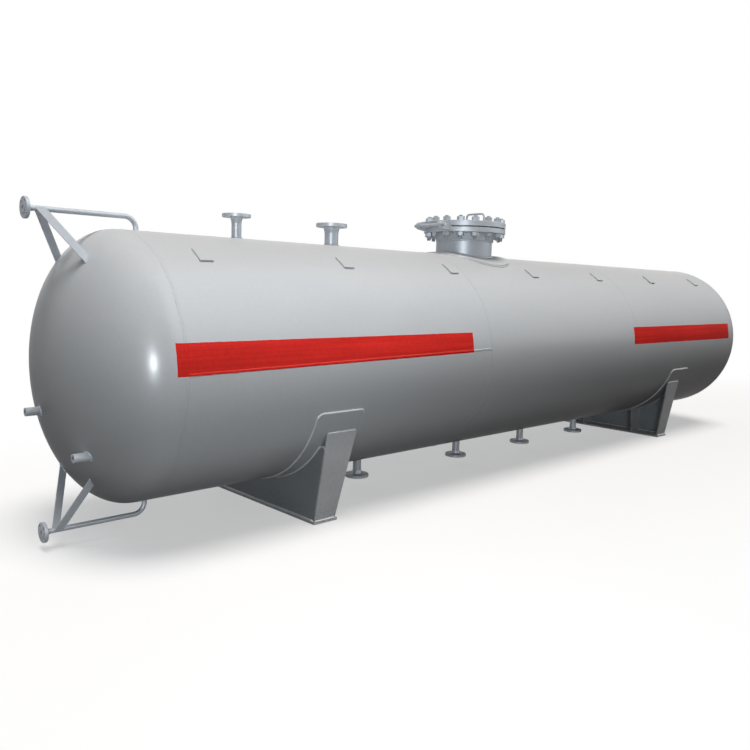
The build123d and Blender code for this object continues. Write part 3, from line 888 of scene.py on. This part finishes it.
class TANK_OT_weld_manway(bpy.types.Operator):
    """Lays the welds of the manway's neck, pad, flange, hinge ears and handle"""

    bl_idname = "tank.weld_manway"
    bl_label = "Weld manway"

    def execute(self, context):
        leg = context.scene.tank_welds.fillet_leg
        low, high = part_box("manway_neck")
        x, radius = (low.x + high.x) / 2, (high.x - low.x) / 2
        pad_low, pad_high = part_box("manway_reinforcing_pad")
        pad_r = (pad_high.x - pad_low.x) / 2
        neck = ring_on_shell(x, radius, shell_r + manway_pad_thickness, 1)
        hub = level_ring(x, 0, high.z, radius)
        beads = [
            (neck, away_from((x, 0, axis_z + shell_r * manway_root_share)), leg * 2, leg, True),
            (hub, from_upright(x), *manway_neck_weld, True),
        ]
        add_beads("manway_neck_welds", beads, "fitting_paint")
        edge = (ring_on_shell(x, pad_r, shell_r, 1), from_axis, leg * 2.2, leg * 1.1, True)
        add_beads("manway_pad_weld", [edge], "shell_paint")
        small = context.scene.tank_welds.small_leg
        cover_low, cover_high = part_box("manway_cover")
        rim = cover_low.x
        flange_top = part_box("manway_gasket")[0].z - manway_face_rise
        beads = []
        for ears, top in (("manway_flange_ears", flange_top), ("manway_cover_ears", cover_high.z)):
            ear_low, ear_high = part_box(ears)
            for outer in (ear_low.y, ear_low.y + hinge_ear_depth, ear_high.y - hinge_ear_depth, ear_high.y):
                root = x - math.sqrt((x - rim) ** 2 - outer**2)
                path = straight((root, outer, top - ear_weld_bottom), (root, outer, top - ear_weld_top), 8)
                beads.append((path, towards((-1, 0, 0)), small * 1.6, small, False))
        handle_low, handle_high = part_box("manway_handle")
        rod_r = (handle_high.x - handle_low.x) / 2
        for y in (handle_low.y + rod_r, handle_high.y - rod_r):
            foot = level_ring((handle_low.x + handle_high.x) / 2, y, handle_low.z, rod_r)
            beads.append((foot, towards((0, 0, 1)), small * 1.8, small * 0.9, True))
        add_beads("manway_hinge_welds", beads, "fitting_paint")
        return {"FINISHED"}


def saddle_beads(side, leg):
    """Beads along the seat, the base plate and the corners of one saddle."""
    web_low, web_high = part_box(f"{side}_saddle_web")
    ribs_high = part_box(f"{side}_saddle_ribs")[1]
    base_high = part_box(f"{side}_saddle_base")[1]
    base_top, plate_y = base_high.z, base_high.y - base_lip
    inward = 1 if ribs_high.x > web_high.x + rib_thickness else -1
    outer_x = web_low.x if inward > 0 else web_high.x
    inner_x = web_high.x if inward > 0 else web_low.x
    seat_r = shell_r + wear_plate_thickness
    horn = math.acos((axis_z - web_high.z) / seat_r)
    angles = np.linspace(-horn, horn, 160)
    across, rise = seat_r * np.sin(angles), axis_z - seat_r * np.cos(angles)
    foot_y = plate_y - rib_thickness
    beads = []
    for x in (outer_x, inner_x):
        beads.append((curve(x, across, rise), from_axis, leg * 1.7, leg * 0.85, False))
        foot = straight((x, -foot_y, base_top), (x, foot_y, base_top))
        beads.append((foot, towards((0, 0, 1)), leg * 2.2, leg * 1.1, False))
        for hand in (-1, 1):
            beads.append((horn_edge(x, hand, web_high.z), towards((0, 0, 1)), leg, leg * 0.7, False))
    foot_end, top_end = inner_x + inward * rib_foot_reach, outer_x + inward * rib_top_width
    top_r = seat_r + rib_top_gap
    top_z = axis_z - top_r * math.cos(saddle_half_wrap)
    for hand in (-1, 1):
        foot = straight((outer_x, hand * plate_y, base_top), (foot_end, hand * plate_y, base_top))
        beads.append((foot, towards((0, hand, 1)), leg * 1.5, leg * 0.75, False))
        top_y = hand * top_r * math.sin(saddle_half_wrap)
        top = straight((outer_x, top_y, top_z), (top_end, top_y, top_z))
        beads.append((top, towards((0, hand, 0.6)), leg * 1.7, leg * 0.85, False))
    return beads


def horn_edge(x, hand, top):
    """The rounded tip of one horn of the web."""
    inner_y = math.sqrt((shell_r + wear_plate_thickness) ** 2 - (axis_z - top) ** 2)
    angle = np.linspace(math.pi, 0, 16)
    across = inner_y + web_horn_width / 2 * (1 + np.cos(angle))
    rise = top - web_horn_round * (1 - np.sin(angle))
    return curve(x, hand * across, rise)


def plate_edge(side):
    """The rounded outline of a wear plate, on the shell."""
    low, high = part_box(f"{side}_wear_plate")
    half_length = (high.x - low.x) / 2
    half_wrap = math.acos((axis_z - high.z) / shell_r)
    half_girth = half_wrap * shell_r
    corner = wear_plate_corner_r
    outline = []
    for sx, sy, start in ((1, 1, 0), (-1, 1, 90), (-1, -1, 180), (1, -1, 270)):
        for angle in np.radians(np.linspace(start, start + 90, 12)):
            outline.append((
                sx * (half_length - corner) + corner * math.cos(angle),
                sy * (half_girth - corner) + corner * math.sin(angle),
            ))
    outline = resampled(np.c_[np.array(outline), np.zeros(len(outline))], plate_edge_step, True)
    along, girth = (low.x + high.x) / 2 + outline[:, 0], outline[:, 1] / shell_r
    return curve(along, shell_r * np.sin(girth), axis_z - shell_r * np.cos(girth))


class TANK_OT_weld_saddles(bpy.types.Operator):
    """Lays the welds round the wear plates, and between the web, ribs and base of each saddle"""

    bl_idname = "tank.weld_saddles"
    bl_label = "Weld saddles"

    def execute(self, context):
        leg = context.scene.tank_welds.fillet_leg
        for side in ("left", "right"):
            # These beads take the lighter weld paint, which is a painted highlight
            edge = (plate_edge(side), from_axis, leg * 1.8, leg * 0.95, True)
            add_beads(f"{side}_wear_plate_weld", [edge], "saddle_paint")
            add_beads(f"{side}_saddle_welds", saddle_beads(side, leg), "saddle_paint")
        return {"FINISHED"}


def pad_boxes(name):
    """The boxes of the separate pads in a row."""
    places = sorted((v.co.copy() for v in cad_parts[name].data.vertices), key=lambda p: p.x)
    groups = [[places[0]]]
    for place in places[1:]:
        if place.x - groups[-1][-1].x > pad_row_gap:
            groups.append([])
        groups[-1].append(place)
    for group in groups:
        points = np.array(group)
        yield Vector(points.min(0)), Vector(points.max(0))


class TANK_OT_weld_pads(bpy.types.Operator):
    """Lays the short welds at the ends of each support pad"""

    bl_idname = "tank.weld_pads"
    bl_label = "Weld support pads"

    def execute(self, context):
        leg = context.scene.tank_welds.small_leg
        for name in ("front_support_pads", "back_support_pads"):
            beads = []
            for low, high in pad_boxes(name):
                side = 1 if low.y > 0 else -1
                lower = math.asin(min(1.0, (low.z - axis_z) / shell_r))
                upper = math.acos(min(1.0, min(abs(low.y), abs(high.y)) / shell_r))
                for angle in (lower, upper):
                    y, z = side * shell_r * math.cos(angle), axis_z + shell_r * math.sin(angle)
                    left = straight((low.x + pad_weld_near, y, z), (low.x + pad_weld_far, y, z), 6)
                    right = straight((high.x - pad_weld_far, y, z), (high.x - pad_weld_near, y, z), 6)
                    beads += [(path, from_axis, leg * 1.8, leg, False) for path in (left, right)]
            add_beads(f"{name}_welds", beads, "shell_paint")
        return {"FINISHED"}


def nut(studs, bottom):
    """A hexagon nut with its corners chamfered at both ends."""
    flat, height = studs.nut_width / 2, studs.nut_height
    inner, crown = studs.diameter / 2 - nut_bore_overlap, flat * nut_crown_share
    vertices = []
    for k in range(nut_segments):
        angle = 2 * math.pi * k / nut_segments
        reach = flat / math.cos((angle + math.pi / 6) % (math.pi / 3) - math.pi / 6)
        drop = max(least_nut_chamfer, (reach - crown) * math.tan(nut_chamfer_angle))
        lower = [(inner, 0), (crown, 0), (reach, drop)]
        upper = [(radius, height - z) for radius, z in reversed(lower)]
        for radius, z in lower + upper:
            vertices.append((radius * math.cos(angle), radius * math.sin(angle), bottom + z))
    inside_out = ring_faces(nut_segments, len(lower + upper), closed=True)
    return vertices, [(a, d, c, b) for a, b, c, d in inside_out]


def turned_mesh(profile, segments):
    """A profile of radius and height turned about the upright, closed at both ends."""
    vertices, rows = [(0, 0, profile[0][1]), (0, 0, profile[-1][1])], profile[1:-1]
    for radius, z in rows:
        for k in range(segments):
            angle = 2 * math.pi * k / segments
            vertices.append((radius * math.cos(angle), radius * math.sin(angle), z))
    faces = ring_faces(len(rows), segments, start=2)
    last = 2 + (len(rows) - 1) * segments
    for k in range(segments):
        m = (k + 1) % segments
        faces.append((0, 2 + m, 2 + k))
        faces.append((1, last + k, last + m))
    return vertices, faces


def threaded_rod(studs, bottom, top):
    """A stud as a turned profile, with thread rings and chamfered ends."""
    outer = studs.diameter / 2
    root = outer - thread_depth_share * studs.pitch
    turns = int((top - bottom) / studs.pitch) - 1
    profile = [(0, bottom), (root - stud_end_chamfer, bottom)]
    for number in range(turns):
        z = bottom + studs.pitch * (number + thread_start_share)
        profile.append((root, z))
        profile += [(outer, z + share * studs.pitch) for share in thread_crest_shares]
    profile += [(root - stud_end_chamfer, top), (0, top)]
    return turned_mesh(profile, stud_segments)


class TANK_OT_fit_studs(bpy.types.Operator):
    """Fits the studs and nuts that hold the manway cover shut"""

    bl_idname = "tank.fit_studs"
    bl_label = "Fit manway studs"

    def execute(self, context):
        studs = context.scene.tank_studs
        low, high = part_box("manway_cover")
        x, cover_top = (low.x + high.x) / 2, high.z
        flange_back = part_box("manway_gasket")[0].z - manway_face_rise - studs.flange_thickness
        thread = threaded_rod(studs, flange_back - studs.bottom_reach, cover_top + studs.top_reach)
        upper_nut = nut(studs, cover_top)
        lower_nut = nut(studs, flange_back - studs.nut_height)
        mesh = new_mesh("manway_stud", (thread, upper_nut, lower_nut), "Fitting paint")
        mesh.set_sharp_from_angle(angle=sharp_angle)
        radius = studs.circle / 2
        for number in range(studs.count):
            angle = 2 * math.pi * (number + 0.5) / studs.count
            place = (x + radius * math.cos(angle), radius * math.sin(angle), 0)
            name = f"manway_stud_{number + 1:02d}"
            add_piece(name, mesh, place, angle + stud_twist * number)
        return {"FINISHED"}


def place_camera(scene, stage):
    """Stands the camera where the photo's stood."""
    lens = bpy.data.cameras.new("camera")
    lens.sensor_width = sensor_width
    lens.sensor_fit = "HORIZONTAL"
    lens.lens = stage.camera_lens
    lens.clip_end = far_clip
    yaw, pitch, roll = stage.camera_yaw, stage.camera_pitch, stage.camera_roll
    ahead = Vector((math.cos(yaw) * math.cos(pitch), math.sin(yaw) * math.cos(pitch), math.sin(pitch)))
    level = Vector((math.sin(yaw), -math.cos(yaw), 0))
    upright = level.cross(ahead)
    right = math.cos(roll) * level + math.sin(roll) * upright
    up = math.cos(roll) * upright - math.sin(roll) * level
    camera = new_object("camera", lens)
    turned = Matrix((right, up, -ahead)).transposed().to_4x4()
    camera.matrix_world = Matrix.Translation(stage.camera_place) @ turned
    scene.camera = camera


def add_lamp(name, kind, place, back, level, colour, gleam, **settings):
    """A lamp with its back the way that light comes from. A gleam only shows in gloss."""
    lamp = bpy.data.lights.new(name, kind)
    lamp.energy = level
    lamp.color = colour
    for key, value in settings.items():
        setattr(lamp, key, value)
    light = new_object(name, lamp)
    light.location = place
    light.rotation_euler = back.to_track_quat("Z", "Y").to_euler()
    light.visible_camera = False
    light.visible_glossy = gleam
    light.visible_diffuse = not gleam


def add_panel(name, panel, target, power, gleam=False):
    """A square light panel that faces a target."""
    place, width = Vector(panel[0]), panel[1]
    add_lamp(name, "AREA", place, place - target, power, panel_colour, gleam, shape="SQUARE", size=width)


def add_far_lamp(name, bearing, breadth, level, colour, gleam=False):
    """A broad far light at a bearing."""
    turn, height = (math.radians(degrees) for degrees in bearing)
    flat = math.cos(height)
    back = Vector((flat * math.cos(turn), flat * math.sin(turn), math.sin(height)))
    add_lamp(name, "SUN", far_lamp_place, back, level, colour, gleam, angle=math.radians(breadth))


def light_stage(scene, stage):
    """Lights the stage: the sky, far lamps and panels, of which two only gleam in glossy paint."""
    world = bpy.data.worlds.new("Studio")
    tree = cleared_tree(world)
    direction = add_node(tree, "ShaderNodeTexCoord").outputs["Generated"]
    upward = add_node(tree, "ShaderNodeSeparateXYZ", {0: direction}).outputs["Z"]
    level = spread(tree, upward, 0.0, full_sky_height, horizon_level, stage.sky_level)
    soft = add_node(tree, "ShaderNodeBackground", {"Color": opaque(sky_colour), "Strength": level})
    white = add_node(tree, "ShaderNodeBackground", {"Color": (1, 1, 1, 1), "Strength": 1.0})
    mix = mixed_shader(tree, shown_plainly(tree), soft, white)
    add_node(tree, "ShaderNodeOutputWorld", {0: mix.outputs[0]})
    scene.world = world

    key_bearing = (key_turn, math.degrees(stage.key_elevation))
    left_end, middle = Vector((girth_seams[0], 0, axis_z)), Vector((0, 0, axis_z))
    add_far_lamp("soft_key", key_bearing, key_breadth, stage.key_level, key_colour)
    add_far_lamp(
        "sky_gleam", gleam_bearing, gleam_breadth, stage.gleam_level, gleam_colour, gleam=True
    )
    add_panel("soft_front", front_panel, left_end, stage.front_power)
    add_panel("soft_side", side_panel, left_end, stage.side_power)
    add_panel("knuckle_gleam", knuckle_panel, left_end, stage.glint_power, gleam=True)
    add_panel("soft_left", left_panel, left_end, stage.left_power)
    add_panel("soft_back", back_panel, middle, stage.back_power)


def mixed_shader(tree, factor, first, second):
    """Two shader nodes mixed by a factor."""
    return add_node(tree, "ShaderNodeMixShader", {0: factor, 1: first.outputs[0], 2: second.outputs[0]})


def lay_floor(stage):
    """A wide pale floor that takes shadows near the tank and is plain white further off."""
    mesh = bpy.data.meshes.new("floor")
    signs = ((-1, -1), (1, -1), (1, 1), (-1, 1))
    corners = [(x * floor_reach, y * floor_reach, -floor_drop) for x, y in signs]
    mesh.from_pydata(corners, [], [(0, 1, 2, 3)])
    floor = new_object("floor", mesh)
    material = bpy.data.materials.new("Floor")
    tree = cleared_tree(material)
    lit = add_node(tree, "ShaderNodeBsdfDiffuse", {"Color": opaque(stage.floor_colour)})
    white = add_node(tree, "ShaderNodeEmission", {"Color": (1, 1, 1, 1), "Strength": 1.0})
    drawn_in = stretched(tree, object_place(tree), floor_draw_in)
    distance = add_node(tree, "ShaderNodeVectorMath", {0: drawn_in}, operation="LENGTH").outputs["Value"]
    fade = spread(tree, distance, fade_start, fade_end, least_white, 1.0)
    pale = mixed_shader(tree, fade, lit, white)
    quiet = add_node(tree, "ShaderNodeBsdfDiffuse", {"Color": opaque(quiet_floor)})
    mix = mixed_shader(tree, shown_plainly(tree), quiet, pale)
    add_node(tree, "ShaderNodeOutputMaterial", {0: mix.outputs[0]})
    mesh.materials.append(material)


def shown_plainly(tree):
    """1 for rays that show the background itself: seen, mirrored or through glass."""
    path = add_node(tree, "ShaderNodeLightPath").outputs
    seen = maths(tree, "ADD", path["Is Camera Ray"], path["Is Glossy Ray"])
    return maths(tree, "MINIMUM", maths(tree, "ADD", seen, path["Is Transmission Ray"]), 1.0)


class TANK_OT_set_stage(bpy.types.Operator):
    """Sets the floor, the soft light and the camera"""

    bl_idname = "tank.set_stage"
    bl_label = "Set stage"

    def execute(self, context):
        stage = context.scene.tank_stage
        lay_floor(stage)
        light_stage(context.scene, stage)
        place_camera(context.scene, stage)
        context.scene.view_settings.view_transform = "Standard"
        return {"FINISHED"}


class TANK_PT_panel(bpy.types.Panel):
    """Lists the tank's sizes, colours and steps"""

    bl_idname = "TANK_PT_panel"
    bl_label = "Gas tank"
    bl_space_type = "VIEW_3D"
    bl_region_type = "UI"
    bl_category = "Tank"

    def draw(self, context):
        for group in settings_groups:
            box = self.layout.box()
            settings = getattr(context.scene, group)
            for name in settings.__annotations__:
                box.prop(settings, name)
        for operator in operators:
            self.layout.operator(operator.bl_idname)


settings_groups = {
    "tank_paint": TankPaint,
    "tank_welds": TankWelds,
    "tank_studs": TankStuds,
    "tank_stage": TankStage,
}
operators = (
    TANK_OT_set_stage,
    TANK_OT_coat_shell,
    TANK_OT_coat_saddles,
    TANK_OT_coat_fittings,
    TANK_OT_weld_seams,
    TANK_OT_weld_nozzles,
    TANK_OT_weld_gauge_lines,
    TANK_OT_weld_manway,
    TANK_OT_weld_saddles,
    TANK_OT_weld_pads,
    TANK_OT_fit_studs,
)


def register():
    for settings in settings_groups.values():
        bpy.utils.register_class(settings)
    for name, settings in settings_groups.items():
        setattr(bpy.types.Scene, name, PointerProperty(type=settings))
    for operator in operators:
        bpy.utils.register_class(operator)
    bpy.utils.register_class(TANK_PT_panel)


def unregister():
    bpy.utils.unregister_class(TANK_PT_panel)
    for operator in reversed(operators):
        bpy.utils.unregister_class(operator)
    for name in settings_groups:
        delattr(bpy.types.Scene, name)
    for settings in reversed(settings_groups.values()):
        bpy.utils.unregister_class(settings)


def main():
    register()
    for operator in operators:
        group, name = operator.bl_idname.split(".")
        getattr(getattr(bpy.ops, group), name)()


if __name__ == "__main__":
    main()
